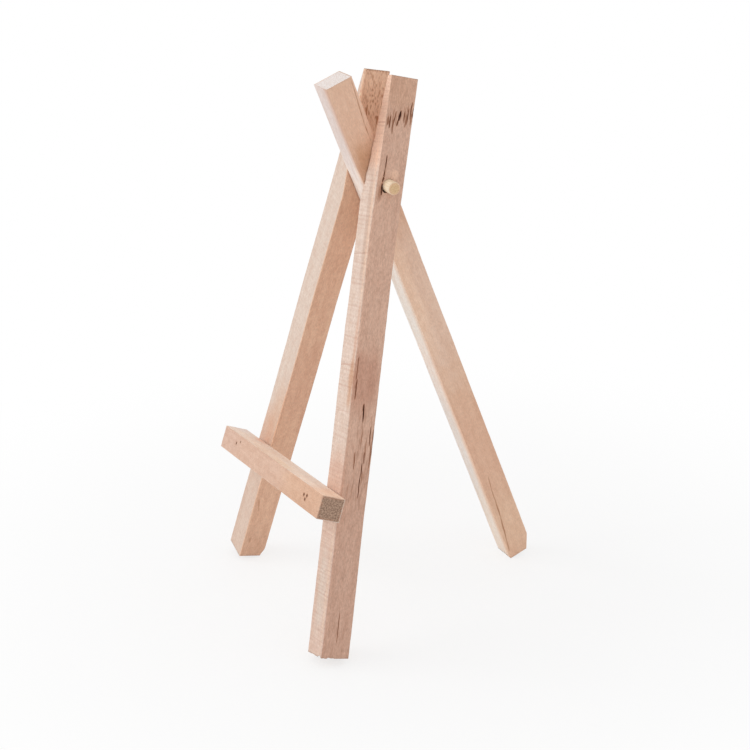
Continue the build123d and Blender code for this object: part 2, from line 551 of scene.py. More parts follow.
right_leg_crack = [
    (-2, 3, -1.9, 7, 0.14, 0.9), (-2.12, -0.6, -2, 3.2, 0.18, 1), (-2.1, -3.6, -2.15, -0.4, 0.24, 1),
]
right_leg_side_patches = [
    (0, 25, 9, 10, 0.97, 0.93, 0.88), (-1, -54, 7, 12, 0.86, 0.76, 0.73), (0, -112, 12, 62, 0.92, 0.9, 0.9),
    # (0.95, 2.2) makes the wood paler just above the dowel.
    (0.95, 2.2, 1.7, 1.7, 1.24, 1.28, 1.26),
]
right_leg_front_stains_and_highlights = [
    # (2.9, -14) and (2.4, -110) are a painted highlight: paler lines along the front's outer edge.
    (1.5, -12, 1.4, 28, 0.88, 0.83, 0.8), (2.9, -14, 1.1, 30, 1.05, 0.97, 0.9),
    (2.4, -54, 1.9, 10, 0.86, 0.68, 0.56), (2.7, -41, 1.3, 9, 0.95, 0.82, 0.76),
    (0, -82, 12, 11, 0.98, 0.88, 0.84), (0, -118, 14, 42, 0.95, 0.89, 0.87),
    (-0.8, -112, 3.2, 15, 0.98, 1.06, 1.08), (2.4, -110, 0.8, 26, 1.04, 1.04, 1),
]
print("the right leg has", len(right_leg_streaks), "streaks")


# %% The right leg's shape
def right_outwards(t):
    """How far the outer face stands out: 0.15 mm above the foot, and from 9 mm below the dowel a twentieth
    of a millimetre more for each one further up, where the stick has sprung."""
    rise = np.clip(t + 9, 0, None)
    return 0.15 * ramp(t, -126, -100) + 0.047 * (np.sqrt(rise ** 2 + 16) - 4)


def right_backwards(t):
    """A third of a millimetre at the top and at the foot, and next to nothing between."""
    return 0.06 + 0.24 * ramp(t, -22, -4) + 0.28 * ramp(-t, 92, 124)


def right_inwards(t):
    """Half a millimetre, from below the rear leg's cheek down."""
    return 0.5 * ramp(-t, 26, 42)


def right_easing(t):
    """The corners: the outer front one is planed long and flat below the hole, and the inner front one is
    ragged where the saw broke out."""
    planed = ramp(-t, 4, 13)
    outer = 0.28 + (0.5 + 0.08 * uneven(t * 0.2, 0.5, 21)) * planed
    sawn = ramp(t, -bevel_start - 1, -bevel_start + 1)
    torn = np.clip(uneven(t * 0.7 + 60, 0.5, 22) * 1.3 + 0.35, 0, 1)
    torn = torn * (window(t, -1, 15.5, 1.5) + 0.6 * window(t, 17, 22, 1))
    inner = 0.25 * (1 - sawn) + (0.08 + 0.9 * torn) * sawn
    inner = np.minimum(inner, 0.2 + 0.07 * (front_top - t))
    back = 0.25 * (1 - sawn) + 0.07 * sawn
    return [(outer, 0.28 + 2.2 * planed), (0.13, 0.13), (back, back), (inner, 0.4 * inner)]


def torn_rim(angle):
    """The hole's mouth: round, but torn away by half a millimetre below its front."""
    low_front = np.exp(-((np.mod(angle + math.pi, 2 * math.pi) - math.pi + 2.2) / 0.42) ** 2)
    ragged = 0.08 * uneven(angle * 6 + 30, 0.5, 23)
    return dowel_radius - 0.03 + (0.61 + ragged) * low_front


print("the tip's outer face stands out by", round(float(right_outwards(front_top)), 2), "mm")


# %% The right leg's wear
def right_character(points, facing):
    """Marks, wear and a painted highlight of the right leg, whose outer side is the one seen first."""
    o, v, t = points.T
    outer, front = side_share(facing, 0, 1), side_share(facing, 1, -1)
    pocket = window(t, 14.6 + 0.35 * (v + 4), 17.6 + 0.45 * (v + 4), 1.2) * window(v, -3.4, 4.2, 0.3)
    smoke = np.maximum(window(t, -86, -64, 5) * window(v, -1.6, 4.2, 0.5), 0.6 * ramp(-t, 116, 124))
    hair = ramp(uneven(v * 4.4 + 50, t * 0.5 + 20, 24), 0.05, 0.75)
    # A brown patch in front of and below the hole's torn mouth.
    brown_patch = (1 - ramp(np.hypot((v + 2.6) / 0.9, (t + 3.0) / 3.2), 0.3, 1)) * 0.3
    dark = np.maximum(streaks(v, t, right_leg_streaks), hair * (0.34 * pocket + 0.2 * smoke))
    dark = np.maximum(dark, brown_patch) * outer
    crack = streaks(v, t, right_leg_crack) * outer
    dark = np.maximum(dark, crack)

    warm = front * 0.9 * ramp(t, 1.0, 7.0)
    tint = patch_tint(v, t, outer, right_leg_side_patches) * patch_tint(o, t, front, right_leg_front_stains_and_highlights)
    moved = weather(points, facing, (-130, front_top), 26)
    moved = moved - facing * (0.08 * dark + 0.12 * crack)[:, None]
    torn = ramp(-t, 129.2, 129.9) * np.clip(uneven(v * 1.3 + o * 0.9 + 40, 0.5, 27) + 0.1, 0, 1)
    moved[:, 2] += 0.55 * torn * ramp(-v, -1.5, 1.0)
    return moved, {"dark": dark, "warm": warm, "tint": tint}


# %% Build the right leg
right_swelling = (right_outwards, right_backwards, right_inwards)
make_object("right_leg", *front_leg(
    "right", 1, right_swelling, right_easing, torn_rim, (19, 7), right_character))

# %% [markdown]
# ### The left leg
#
# The left leg is plainer. At its top the edge between the front and the sawn face has been knocked off.

# %% The left leg's marks
left_leg_side_stains_and_light = [
    # (0, 20), (-4.2, 19) and (0, 26) are painted light: the top of the inner side lies in the other legs'
    # shade, and the strip along its front edge faces away from the lamp.
    (0, -125, 9, 12, 0.94, 0.93, 0.93), (0, -68, 12, 18, 0.95, 0.92, 0.92),
    (0, -8, 12, 12, 0.93, 0.93, 0.92), (0, 20, 9, 16, 1.1, 1.15, 1.16),
    (-4.2, 19, 1.3, 16, 1.28, 1.36, 1.44), (0, 26, 5, 5, 1.05, 1.07, 1.08),
]
left_leg_front_stains = [
    (-2.5, -80, 7, 14, 0.98, 0.87, 0.79), (2, -86, 7, 9, 0.98, 0.88, 0.83),
    (0, -116, 14, 30, 0.96, 0.91, 0.88),
]
left_leg_streaks = [(-1.9, -112.2, -2.8, -108, 0.3, 0.22), (-2, -124, -2, -122.2, 0.35, 0.22)]
print("the left leg has", len(left_leg_side_stains_and_light) + len(left_leg_front_stains), "stains")


# %% The left leg's shape
def left_outwards(t):
    """The left stick is half a millimetre thicker towards the outside, but not at its top."""
    return 0.15 + 0.35 * ramp(-t, -16, 0)


def left_easing(t):
    """The corners: the inner front one is worn to 1 mm along the sawn face towards the top."""
    sawn = ramp(t, -bevel_start - 1, -bevel_start + 1)
    worn = 0.3 + 0.7 * ramp(t, 8, 24)
    narrow = 0.3 * (1 - sawn) + np.minimum(0.25, 0.3 + 0.02 * (front_top - t)) * sawn
    thin = 0.2 * (1 - sawn) + 0.1 * sawn
    return [(0.2, 0.2), (0.3, 0.3), (thin, thin), (narrow, worn)]


print("the left leg is", round(2 * half + float(left_outwards(-60)), 2), "mm wide below the dowel")


# %% The left leg's wear
def left_character(points, facing):
    """Marks, wear and painted light of the left leg, whose inner side is the one seen first. Its foot is worn
    at
    the back: below -126.5 mm everything behind the middle is drawn in by up to a quarter."""
    o, v, t = points.T
    inner, front = side_share(facing, 0, -1), side_share(facing, 1, -1)
    rough = inner * ramp(t, 8, 15) * (1 - 0.4 * ramp(t, 20, 26))
    tufts = ramp(uneven(v * 4.0 + t * 0.5 + 50, t * 1.4 + 20, 31), 0.0, 0.6)
    tufts *= 0.65 + 0.35 * uneven(v * 0.8, t * 0.3, 34)
    dark = np.maximum(streaks(v, t, left_leg_streaks) * inner, 0.52 * rough * tufts)
    tint = patch_tint(v, t, inner, left_leg_side_stains_and_light) * patch_tint(o, t, front, left_leg_front_stains)
    # Painted light: the inner front corner faces the shaded side, and is brightened with the warm colour.
    corner = 0.8 * ramp(-facing[:, 0], 0.12, 0.3) * ramp(-facing[:, 1], 0.03, 0.15)
    moved = weather(points, facing, (-129, front_top), 32)
    moved = moved - facing * (0.10 * dark)[:, None]
    moved[v > 0, 1] *= 1 - 0.28 * ramp(-t[v > 0], 126.2, 129.6)
    return moved, {"dark": dark, "warm": corner, "tint": tint}


# %% Build the left leg
left_swelling = (left_outwards, np.zeros_like, np.zeros_like)
make_object("left_leg", *front_leg(
    "left", -1, left_swelling, left_easing, round_rim, (16, 6), left_character))

# %% [markdown]
# ## The rear leg
#
# The rear leg is the plain stick: square-cut, with one hole straight across for the dowel to turn in. A
# strip was planed off its right back edge near the top, its foot has lost its back corner, and a fine
# crack runs up from there.

# %% The rear leg's marks
back_leg_side_stains_and_shade = [
    (0, -40, 16, 36, 1.05, 1.14, 1.24), (0, -92, 12, 24, 0.99, 0.96, 0.96),
    # (-0.5, 5) is painted shade, in the narrow gap between the rear leg's side and the right leg's cheek.
    (-0.5, 5, 4.5, 9, 0.85, 0.78, 0.7), (0, 21, 12, 13, 1.05, 1.06, 1.09),
    (0, -122, 12, 14, 1.03, 1.06, 1.06), (-3.5, -34, 4.5, 36, 1.1, 1.11, 1.08),
]
back_leg_front_stains_and_shade = [
    # (0, 22) is painted shade: it darkens the top of the front, where the lamp falls more strongly than lower
    # down.
    (0, 22, 14, 30, 0.78, 0.74, 0.76), (0, -38, 14, 24, 0.98, 1.05, 1.08),
    (-3, -90, 7, 34, 0.89, 0.92, 0.95), (0, -128, 14, 34, 0.95, 0.93, 0.9),
]
back_leg_crack = [
    (-1.7, -107, -1.15, -102.7, 0.16, 0.3), (-1.93, -112.6, -1.68, -106.6, 0.2, 0.35),
    (-2.2, -118, -1.93, -112.2, 0.22, 0.4), (-3.1, -126.8, -2.2, -117.6, 0.26, 0.4),
    (-3.45, -130.2, -3.1, -126.4, 0.2, 0.3),
]


print("the rear leg's crack has", len(back_leg_crack), "parts")


# %% Build the rear leg
def planed_depth(t):
    """How far the planed strip reaches in from the back: widest at 14 mm, and gone behind the pivot."""
    return 0.3 + (0.25 + 1.0 * ramp(-t, -30, -14)) * ramp(t, -6, 8)


def rear_leg():
    """The stick's points, faces and masks, with a round hole for the dowel at t = 0."""
    turn = turn_x(rear_lean)
    stations = leg_stations(turn, 0, rear_top, 99)
    flat = np.full_like(stations, half)
    planed = planed_depth(stations)
    easing = [(0.3, 0.3), (0.3 + 0.35 * (planed - 0.3), planed), (0.3, 0.3), (0.15, 0.15)]
    outline, normals = eased_outline(-flat, flat, -flat - 0.2 * ramp(stations, 0, 6), flat, easing)
    bore = dowel_radius + 0.05

    def bearing(place):
        return np.arctan2(place[:, 2], place[:, 1])

    def rim(x):
        return lambda angle: np.stack([0 * angle + x, bore * np.cos(angle), bore * np.sin(angle)], -1)

    hole = ((18, 7), bearing, ((0, (0, 0), rim(half)), (2, (0, 0), rim(-half))))
    skin = stick_skin(stations, outline, normals, [hole])
    points, facing = skin.arrays()
    u, v, t = points.T
    right, front = side_share(facing, 0, 1), side_share(facing, 1, -1)
    border = 1 - ramp(np.abs(v - half + planed_depth(t) + 0.05), 0.04, 0.2)
    border = border * window(t, 11, 27.5, 1.5) * (0.27 + 0.2 * uneven(t * 0.9, 0.5, 43))
    dark = np.maximum(streaks(v, t, back_leg_crack), border) * right
    tan_from = np.interp(t, [-133, -100, -55, -25, 5, 30], [2.6, 2.3, 3.0, 3.6, 3.0, 2.4])
    tanned = front * ramp(u - tan_from, -2.0, 2.0)
    warm = np.maximum(0.5 * ramp(facing[:, 0], 0.12, 0.3) * ramp(facing[:, 1], 0.12, 0.3), tanned)
    tint = patch_tint(v, t, right, back_leg_side_stains_and_shade) * patch_tint(u, t, front, back_leg_front_stains_and_shade)
    moved = weather(points, facing, (-133, rear_top), 41)
    moved = moved - facing * (0.08 * dark)[:, None]
    moved[v > 0, 1] *= 1 - 0.105 * np.clip(-128.4 - t[v > 0], 0, None)
    return stand(moved, turn), skin.faces, masks(points, facing, dark, warm, tint)


make_object("back_leg", *rear_leg())

# %% [markdown]
# ## The ledge
#
# The ledge is a thinner stick nailed across both front legs, its right end higher than its left. Its own
# axes start at its top back edge, at the left end: x along it, y back, z up. The brads went in through
# its front, so it has a small round hole for each, and the same window-and-tube trick makes them.

# %% The ledge's sizes and marks
ledge_length, ledge_depth, ledge_height = 76.5, 6.9, 6.7
ledge_corner = np.array([-40.425, -31.05, 38.25])
ledge_along = np.array([0.993005, -0.03254, 0.113499])
ledge_back = np.array([0.070214, 0.935574, -0.346079])
ledge_up = np.array([-0.094925, 0.351628, 0.931315])
ledge_top_stains_shade_and_highlight = [
    # (-0.6, 14) is painted shade where the left leg meets the ledge's back; (-5.2, 60) and (-4.9, 38) are a
    # painted highlight along the top's front edge.
    (-3, 74, 9, 9, 1.04, 0.91, 0.82), (-0.6, 14, 2, 6, 1, 0.88, 0.84), (-5.2, 60, 2, 9, 1.06, 1.07, 1.08),
    (-4, 32, 7, 14, 0.99, 0.94, 0.9), (-5.8, 44, 2.5, 9, 0.98, 0.93, 0.86), (-1, 1, 6, 7, 0.97, 1.01, 1.08),
    (-4.9, 38, 1.9, 60, 1.05, 1.05, 1.04),
]
ledge_front_stains = [(-3, 66, 12, 24, 1.02, 0.99, 0.92), (-3.3, 5, 9, 12, 0.99, 1, 1.03)]
brad_radius = 0.325
brad_places = {
    "right_nails": [(65.125, -3.1), (67.125, -2.9), (66.425, -4.1)],
    "left_nails": [(10.88, -2.8), (13.78, -1.8)],
}
dent_strengths = (0.6, 0.6, 0.5, 0.3, 0.1)  # how dark the wood is round each brad
print("the ledge rises by", round(ledge_length * ledge_along[2], 1), "mm from left to right")


# %% The brads' holes
def brad_hole(x, z):
    """A hole from front to back, x along the ledge and z above its top, a little wider than the brad."""
    def bearing(place):
        return np.arctan2(place[:, 2] - x, place[:, 0] - z)

    def rim(y, bore):
        return lambda angle: np.stack([z + bore * np.cos(angle), 0 * angle + y, x + bore * np.sin(angle)], -1)

    front, back = rim(-ledge_depth, brad_radius + 0.05), rim(0, brad_radius + 0.02)
    return (4, 2), bearing, ((3, (z, x), front), (1, (z, x), back))


print("holes for", sum(len(places) for places in brad_places.values()), "brads")


# %% Build the ledge
def ledge():
    """The ledge's points, faces and masks."""
    stations = np.linspace(0, ledge_length, 307)
    flat = np.zeros_like(stations)
    worn = 0.3 + 0.1 * uneven(stations * 0.15, 0.5, 51)
    easing = [(worn, worn), (0.3, 0.3), (0.3, 0.3), (worn, worn)]
    outline, normals = eased_outline(flat - ledge_height, flat, flat - ledge_depth, flat, easing)
    spots = [spot for places in brad_places.values() for spot in places]
    skin = stick_skin(stations, outline, normals, [brad_hole(*spot) for spot in spots])
    points, facing = skin.arrays()
    z, y, x = points.T
    dark = np.zeros_like(x)
    front, top = ramp(-facing[:, 1], 0.5, 0.8), ramp(facing[:, 0], 0.5, 0.8)
    for (x0, z0), strength in zip(spots, dent_strengths):
        dark = np.maximum(dark, strength * (1 - ramp(np.hypot(x - x0, z - z0), 0.3, 0.75)) * front)
    inside = np.minimum(np.minimum(-z, z + ledge_height), np.minimum(-y, y + ledge_depth))
    rim = ramp(-inside, -0.75, -0.15) * ramp(np.abs(facing[:, 2]), 0.5, 0.8)
    rim = rim * ramp(uneven(z * 1.5, y * 1.5, 53), -0.6, 0.4)
    sink = 0.05 * (0.5 + 0.5 * uneven(z * 0.8 + y * 0.6 + 30, x * 0.35 + 9, 52))
    moved = points - facing * (sink * ramp(np.abs(facing).max(1), 0.9, 1))[:, None]
    moved = moved @ np.stack([ledge_up, ledge_back, ledge_along]) + ledge_corner
    patch = 0.5 + 0.5 * uneven(z * 0.5 + y * 0.5 + 20, x * 0.09 + 20, 54)
    tinted = front * (0.05 * patch + 0.12 * ramp(x, 46, 66)) + 0.08 * top * patch * ramp(-x, -45, -15)
    tint = patch_tint(y, x, top, ledge_top_stains_shade_and_highlight) * patch_tint(z, x, front, ledge_front_stains)
    return moved, skin.faces, masks(points, facing, dark, np.maximum(0.6 * rim, tinted), tint)


make_object("picture_ledge", *ledge())

# %% [markdown]
# ## The dowel and the brads
#
# Both are turned shapes: a radius that changes along an axis, carried round it. The dowel was cut with a
# small saw and its edge rubbed round, so its ends are a little domed. The brads are headless: a shank cut
# off flat, set just below the ledge's front, and a point at the other end.

# %% Turning a profile
def lathe(skin, profile, around, start, axis, across):
    """Adds a turned shape to a skin: (distance, radius) rows carried round an axis, closed at both ends."""
    start, axis, across = [np.array(part, float) for part in (start, axis, across)]
    angle = np.linspace(0, 2 * math.pi, around, endpoint=False)[:, None]
    spoke = across * np.cos(angle) + np.cross(axis, across) * np.sin(angle)
    rows = [skin.add(start + axis * d + spoke * r, spoke) for d, r in profile]
    for first, second in zip(rows[:-1], rows[1:]):
        skin.join(first, second)
    skin.fan(rows[0], start + axis * profile[0][0], -axis)
    skin.fan(rows[-1], start + axis * profile[-1][0], axis)


# %% Build the dowel
dowel_edge = 0.42  # how far the rubbed edge runs in from an end and from the side
dowel_dome = 0.04  # how far an end's middle stands out


def dowel_profile(length):
    """The dowel from end to end, as (distance, radius): a dome that follows r squared, a rounded edge that
    follows a quarter of an ellipse, the straight body, and the same back again."""
    flat, rise = dowel_radius - dowel_edge, dowel_edge - dowel_dome
    dome = [(dowel_dome * (r / flat) ** 2, r) for r in np.linspace(0.1, flat, 9)[:-1]]
    rounding = [
        (dowel_dome + rise * (1 - math.cos(b)), flat + dowel_edge * math.sin(b))
        for b in np.radians(np.linspace(0, 90, 8))]
    body = [(d, dowel_radius) for d in np.linspace(dowel_edge, length - dowel_edge, 90)[1:-1]]
    return dome + rounding + body + [(length - d, r) for d, r in reversed(dome + rounding)]


def dowel():
    """The dowel's points, faces and masks. Its grain runs along X."""
    low, high = [np.array(corner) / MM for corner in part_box("pivot_dowel")]
    length, start = high[0] - low[0], np.array([low[0], pivot[1], pivot[2]])
    skin = Skin()
    lathe(skin, dowel_profile(length), 96, start, (1, 0, 0), (0, 1, 0))
    points, facing = skin.arrays()
    local = points - start
    around = np.arctan2(local[:, 2], local[:, 1])
    radius = np.hypot(local[:, 1], local[:, 2])
    facet = 0.03 * (0.5 + 0.5 * uneven(around * 2.2 + 20, local[:, 0] * 0.15 + 9, 61))
    shrink = 1 - facet / dowel_radius * ramp(radius, 0.6, 1.5)
    moved = start + local * np.stack([np.ones_like(shrink), shrink, shrink], -1)
    end_mask = ramp(np.minimum(local[:, 0], length - local[:, 0]), 0.16, 0.06)
    made = masks(local[:, [1, 2, 0]], facing[:, [1, 2, 0]], 0.0, ramp(radius, 1.15, 1.6) * end_mask * 0.6)
    return moved, skin.faces, {**made, "front": 0 * radius, "sawn": end_mask}


make_object("dowel_pin", *dowel())

# %% Build the brads
brad_sunk = 0.15  # how far a brad's cut end lies below the ledge's front
brad_profile = [  # (distance from the cut end, radius)
    (0.0, 0.02), (0.0, 0.16), (0.01, 0.27), (0.05, brad_radius), (5.0, brad_radius), (10.8, brad_radius),
    (11.6, 0.13), (12.0, 0.02),
]


def nails(places, dusts):
    """The brads at several places on the ledge, as one mesh, each with its share of dust on the metal."""
    skin = Skin()
    for x, z in places:
        start = ledge_corner + ledge_along * x + ledge_up * z - ledge_back * (ledge_depth - brad_sunk)
        lathe(skin, brad_profile, 24, start, ledge_back, ledge_along)
    points, facing = skin.arrays()
    return points, skin.faces, {"dust": np.repeat(dusts, len(points) // len(places))}


for name, dusts in (("right_nails", (0.0, 0.0, 0.15)), ("left_nails", (0.3, 0.8))):
    make_object(name, *nails(brad_places[name], dusts))

# %% [markdown]
# ## Building a material from nodes
#
# A material is a small network. A few helpers keep the networks readable: one makes a node and fills or
# links its sockets, one turns a colour, given as it looks on a screen, into the linear light that the
# shader works in, and the rest stand for the kinds of node that come up again and again.

# %% Nodes and colours
def new_material(name):
    """A fresh material, its node tree and its shader."""
    material = bpy.data.materials.new(name)
    material.use_nodes = True
    return material, material.node_tree, material.node_tree.nodes["Principled BSDF"]


def node(tree, kind, inputs=None, **settings):
    """A node with its settings, each input linked if it is given a socket and filled otherwise."""
    made = tree.nodes.new(kind)
    for key, value in settings.items():
        setattr(made, key, value)
    for key, value in (inputs or {}).items():
        if isinstance(value, bpy.types.NodeSocket):
            tree.links.new(value, made.inputs[key])
        else:
            made.inputs[key].default_value = value
    return made


def tone(red, green, blue):
    """A screen colour, 0 to 255, as linear light: ((c + 0.055) / 1.055) ^ 2.4."""
    return (*[((c / 255 + 0.055) / 1.055) ** 2.4 for c in (red, green, blue)], 1)


def mixed(tree, share, first, second):
    """A colour between two others. A Mix node has its colours at inputs 6 and 7 and at output 2."""
    return node(tree, "ShaderNodeMix", {0: share, 6: first, 7: second}, data_type="RGBA").outputs[2]


print("the left leg's paler wood as linear light:", [round(part, 3) for part in tone(233, 193, 165)[:3]])


# %% Arithmetic with nodes
def sums(tree, operation, first, second=0.0, clamp=False):
    """One piece of arithmetic on two numbers."""
    made = node(tree, "ShaderNodeMath", {0: first, 1: second}, operation=operation, use_clamp=clamp)
    return made.outputs[0]


def times(tree, first, second, clamp=False):
    """One number times another."""
    return sums(tree, "MULTIPLY", first, second, clamp)


def weighted(tree, *terms):
    """Several numbers added up, each times its weight; a term that is a plain number is added as it is."""
    parts = [times(tree, *term) if isinstance(term, tuple) else term for term in terms]
    total = parts[0]
    for part in parts[1:]:
        total = sums(tree, "ADD", total, part)
    return total


# %% Noise and steps with nodes
def cloud(tree, coordinates, scale, detail, rough):
    """Noise stretched by a different amount along each axis of the stick."""
    mapping = node(tree, "ShaderNodeMapping", {"Vector": coordinates, "Scale": scale})
    noise = node(tree, "ShaderNodeTexNoise", {
        "Vector": mapping.outputs[0], "Scale": 1.0, "Detail": detail, "Roughness": rough})
    return noise.outputs["Fac"]


def between(tree, value, low, high):
    """0 where the value is low, 1 where it is high, and smooth between."""
    made = node(tree, "ShaderNodeMapRange", {"Value": value, "From Min": low, "From Max": high},
                interpolation_type="SMOOTHSTEP")
    return made.outputs["Result"]


# %% [markdown]
# ## Bare wood
#
# The wood is unfinished: no varnish, only pale fibres. Along the stick its fibres make long faint
# streaks; across a sawn end they show as dark pores. One pattern gives both if it is worked out in the
# stick's own axes and stretched along its length, because the ends then cut through the same fibres.
# Masks worked out on the mesh say where the dark mineral streaks, the cracks, the rubbed edges and the
# painted light on the left leg's inner front corner lie.

# %% The saw's marks
def saw_lines(tree, grain, strength, cuts):
    """How strongly the blade has scored each point. Fine noise squeezed along the stick and the sine of the
    height, shifted by slower noise, make uneven lines, patchy along the stick. Cuts are single lines:
    (height, rise per millimetre to the side, half-width, strength)."""
    tilt = node(tree, "ShaderNodeMapping", {"Vector": grain, "Rotation": (0, math.radians(-4), 0)}).outputs[0]
    blade = between(tree, cloud(tree, tilt, (0.06, 0.06, 1.5), 2.0, 0.7), 0.44, 0.68)
    height = node(tree, "ShaderNodeSeparateXYZ", {0: tilt}).outputs["Z"]
    drift = cloud(tree, tilt, (0.06, 0.06, 0.3), 1.0, 0.5)
    stroke = sums(tree, "SINE", weighted(tree, (height, 5.6), (drift, 11.0)))
    lines = weighted(tree, (blade, 0.55), (between(tree, stroke, -0.2, 1.0), 0.45))
    patchy = between(tree, cloud(tree, grain, (0.05, 0.05, 0.16), 2.0, 0.6), 0.15, 0.65)
    scored = times(tree, times(tree, lines, patchy), strength)
    place = node(tree, "ShaderNodeSeparateXYZ", {0: grain}).outputs
    for level, rise, width, depth in cuts:
        line = weighted(tree, level, (place["X"], rise))
        away = sums(tree, "ABSOLUTE", sums(tree, "SUBTRACT", place["Z"], line))
        scored = sums(tree, "MAXIMUM", scored, times(tree, between(tree, away, width, 0.0), depth))
    return scored


# %% The wood material
saw_tone = (184, 132, 112)  # the colour of the saw's marks
rust = (0.54, 0.38, 0.29)  # what a thin streak leaves of the wood's red, green and blue


def bare_wood(name, side, front, end, speckle, warm, dark=(72, 32, 16), saw=0.0, cuts=()):
    """Bare wood. side, front and end are pairs of screen colours, the paler wood and the darker; speckle is
    how strongly it is mottled, warm is the colour of the warm mask (rubbed edges, and painted light on the
    left leg's inner front corner), and dark is the colour of marks."""
    material, tree, shader = new_material(name)

    def value(key, socket="Fac"):
        return node(tree, "ShaderNodeAttribute", attribute_name=key).outputs[socket]

    def multiplied(colour, factor):
        return node(tree, "ShaderNodeVectorMath", {0: colour, 1: factor}, operation="MULTIPLY").outputs[0]

    grain, tint = value("grain", "Vector"), value("tint", "Vector")
    front_mask, end_mask, dark_mask, warm_mask = [value(key) for key in ("front", "sawn", "dark", "warm")]

    growth = cloud(tree, grain, (0.5, 0.5, 0.02), 3.0, 0.55)
    fibre = cloud(tree, grain, (3.4, 3.4, 0.16), 3.0, 0.6)
    speck = cloud(tree, grain, (3.5, 3.5, 1.2), 2.0, 0.65)
    blotch = cloud(tree, grain, (0.8, 0.8, 0.5), 2.0, 0.5)
    pores = between(tree, cloud(tree, grain, (2.4, 2.4, 0.3), 2.0, 0.7), 0.38, 0.62)
    shade = between(tree, weighted(tree, (growth, 0.3), (fibre, 0.3), (blotch, 0.4)), 0.36, 0.64)
    scored = saw_lines(tree, grain, saw, cuts) if saw else 0.0

    side_wood = mixed(tree, shade, tone(*side[0]), tone(*side[1]))
    front_wood = mixed(tree, shade, tone(*front[0]), tone(*front[1]))
    wood = mixed(tree, front_mask, side_wood, front_wood)
    wood = mixed(tree, end_mask, wood, mixed(tree, pores, tone(*end[0]), tone(*end[1])))
    wood = mixed(tree, warm_mask, wood, tone(*warm))
    wood = mixed(tree, times(tree, scored, front_mask), wood, tone(*saw_tone))
    light = weighted(tree, 1.0, (sums(tree, "SUBTRACT", speck, 0.5), speckle))
    wood = node(tree, "ShaderNodeVectorMath", {0: wood, 3: light}, operation="SCALE").outputs[0]
    wood = multiplied(wood, tint)
    ragged = weighted(tree, (fibre, 0.8), (speck, 0.9))
    broken = times(tree, dark_mask, sums(tree, "ADD", 0.2, ragged), True)
    wood = mixed(tree, times(tree, broken, 2.0, True), wood, multiplied(wood, rust))
    wood = mixed(tree, between(tree, broken, 0.45, 1.0), wood, tone(*dark))
    tree.links.new(wood, shader.inputs["Base Color"])

    relief = weighted(tree, (fibre, 0.6), (speck, 0.5))
    relief = sums(tree, "SUBTRACT", relief, times(tree, front_mask, times(tree, scored, 0.6)))
    bump = node(tree, "ShaderNodeBump", {"Height": relief, "Strength": 0.5, "Distance": 0.00012})
    tree.links.new(bump.outputs["Normal"], shader.inputs["Normal"])
    tree.links.new(weighted(tree, 0.66, (speck, 0.2)), shader.inputs["Roughness"])
    shader.inputs["Specular IOR Level"].default_value = 0.25
    return material


# %% The wood of each piece
materials = {
    "right_leg": bare_wood(
        "right_leg_wood", ((222, 183, 161), (209, 168, 146)), ((228, 207, 193), (217, 192, 175)),
        ((226, 196, 176), (176, 136, 112)), 0.8, (243, 204, 180), (58, 24, 12), 0.32,
        [(-19.7, 0.06, 0.13, 0.8), (-49.9, 0.1, 0.14, 0.9), (-62.7, 0.03, 0.12, 0.5), (15.6, 0.0, 0.14, 0.8),
         (19.6, 0.1, 0.1, 0.5), (12.2, 0.1, 0.1, 0.4)]),
    # The left leg's warm colour is painted light on its inner front corner.
    "left_leg": bare_wood(
        "left_leg_wood", ((233, 193, 165), (219, 175, 148)), ((223, 205, 191), (214, 190, 174)),
        ((214, 172, 142), (160, 112, 86)), 0.6, (244, 206, 178), saw=0.12),
    # Painted light: the rear leg's front and end colours are near white. Its front faces down and forwards,
    # and its top end is strongly lit from above.
    "back_leg": bare_wood(
        "back_leg_wood", ((233, 194, 167), (223, 181, 153)), ((252, 242, 233), (244, 228, 215)),
        ((240, 233, 230), (227, 211, 202)), 0.45, (236, 198, 171)),
    "picture_ledge": bare_wood(
        "ledge_wood", ((250, 230, 214), (239, 214, 195)), ((220, 186, 165), (208, 171, 149)),
        ((190, 158, 136), (140, 112, 94)), 0.5, (188, 128, 100)),
    "dowel_pin": bare_wood(
        "dowel_wood", ((243, 225, 200), (234, 208, 176)), ((243, 225, 200), (234, 208, 176)),
        ((232, 198, 155), (214, 176, 135)), 0.3, (238, 192, 162)),
}
print("woods for", sorted(materials))

# %% [markdown]
# ## Blued steel
#
# The brads are small enough to be two dark dots, yet they are metal: their cut ends keep a dull gleam.

# %% The brads' material
def brad_metal():
    """Blued steel that has gone brown: dark, fairly rough, with a faint mottle a quarter of a millimetre
    wide. Where the dust mask says so, wood dust has stuck to it and pales it."""
    material, tree, shader = new_material("brad_metal")
    place = node(tree, "ShaderNodeTexCoord").outputs["Object"]
    mottle = between(tree, cloud(tree, place, (4000, 4000, 4000), 2.0, 0.6), 0.35, 0.65)
    dust = node(tree, "ShaderNodeAttribute", attribute_name="dust").outputs["Fac"]
    steel = mixed(tree, mottle, tone(78, 42, 28), tone(116, 70, 48))
    tree.links.new(mixed(tree, dust, steel, tone(226, 190, 164)), shader.inputs["Base Color"])
    tree.links.new(weighted(tree, 0.45, (mottle, 0.2)), shader.inputs["Roughness"])
    shader.inputs["Metallic"].default_value = 0.7
    return material


materials["right_nails"] = materials["left_nails"] = brad_metal()
print("the brads share", materials["left_nails"].name)

# %% [markdown]
# ## Dressing the frame
#
# Each piece takes its material, moves with its body, and stands for its part of the CAD model.

